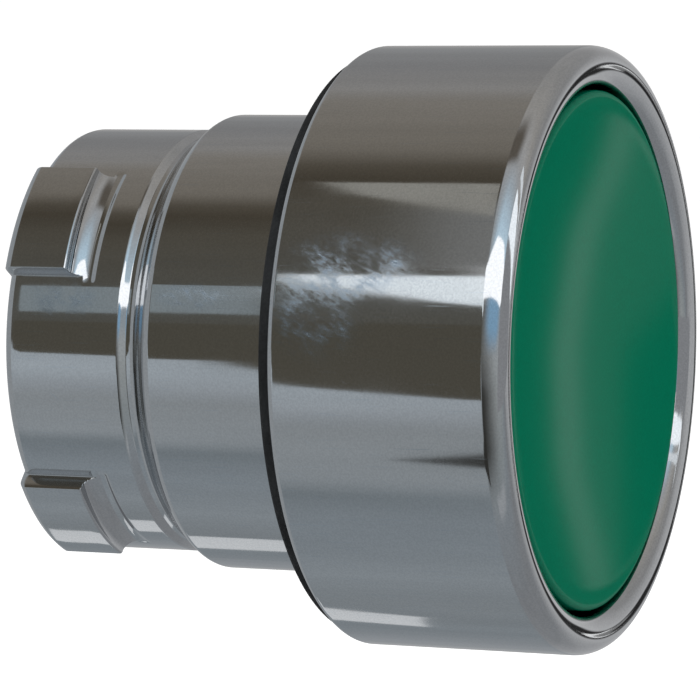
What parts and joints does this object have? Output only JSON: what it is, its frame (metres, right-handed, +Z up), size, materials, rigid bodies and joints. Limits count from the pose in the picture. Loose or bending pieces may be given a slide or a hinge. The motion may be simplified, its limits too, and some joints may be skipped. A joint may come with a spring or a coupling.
{
  "type": "push button head",
  "caption": "Flush push button head for a 22 mm panel hole: plated metal bezel and barrel with bayonet lugs, green cap, spring return.",
  "frame": {"origin": "centre of the panel hole, in the plane of the panel's front face, where the gasket seats", "axes": "+Y along the button's axis from the face to the rear, so the face looks along -Y; +Z up; +X to the right seen from the front"},
  "size_m": [0.029, 0.0269, 0.029],
  "materials": {
    "chrome_plate": "bright chromium plating with fine handling scuffs",
    "green_plastic": "satin moulded",
    "black_rubber": "matt moulded",
    "black_plastic": "fine moulded grain",
    "zinc_steel": "zinc plated",
    "spring_steel": "drawn wire and strip, bright"
  },
  "bodies": {
    "housing": {"bezel_ring": "chrome_plate", "barrel": "chrome_plate", "panel_gasket": "black_rubber", "flange_seal_ring": "black_rubber", "lip_seal": "black_rubber", "seal_retainer": "zinc_steel", "guide_bush": "black_plastic", "bush_snap_ring": "zinc_steel", "spring_seat": "zinc_steel", "return_spring": "spring_steel"},
    "button": {"button_cap": "green_plastic", "cap_carrier": "black_plastic", "cap_seal_ring": "black_rubber", "plunger": "black_plastic", "stop_washer": "zinc_steel", "retaining_clip": "spring_steel", "pusher_plate": "black_plastic", "plate_clip": "spring_steel"}
  },
  "joints": [
    {"name": "button_press", "type": "slide", "parent": "housing", "child": "button", "axis": [0, 1, 0], "range_m": [0, 0.0043], "stiffness_N_per_m": 400, "springref_m": -0.006, "deforming": ["return_spring"]}
  ]
}
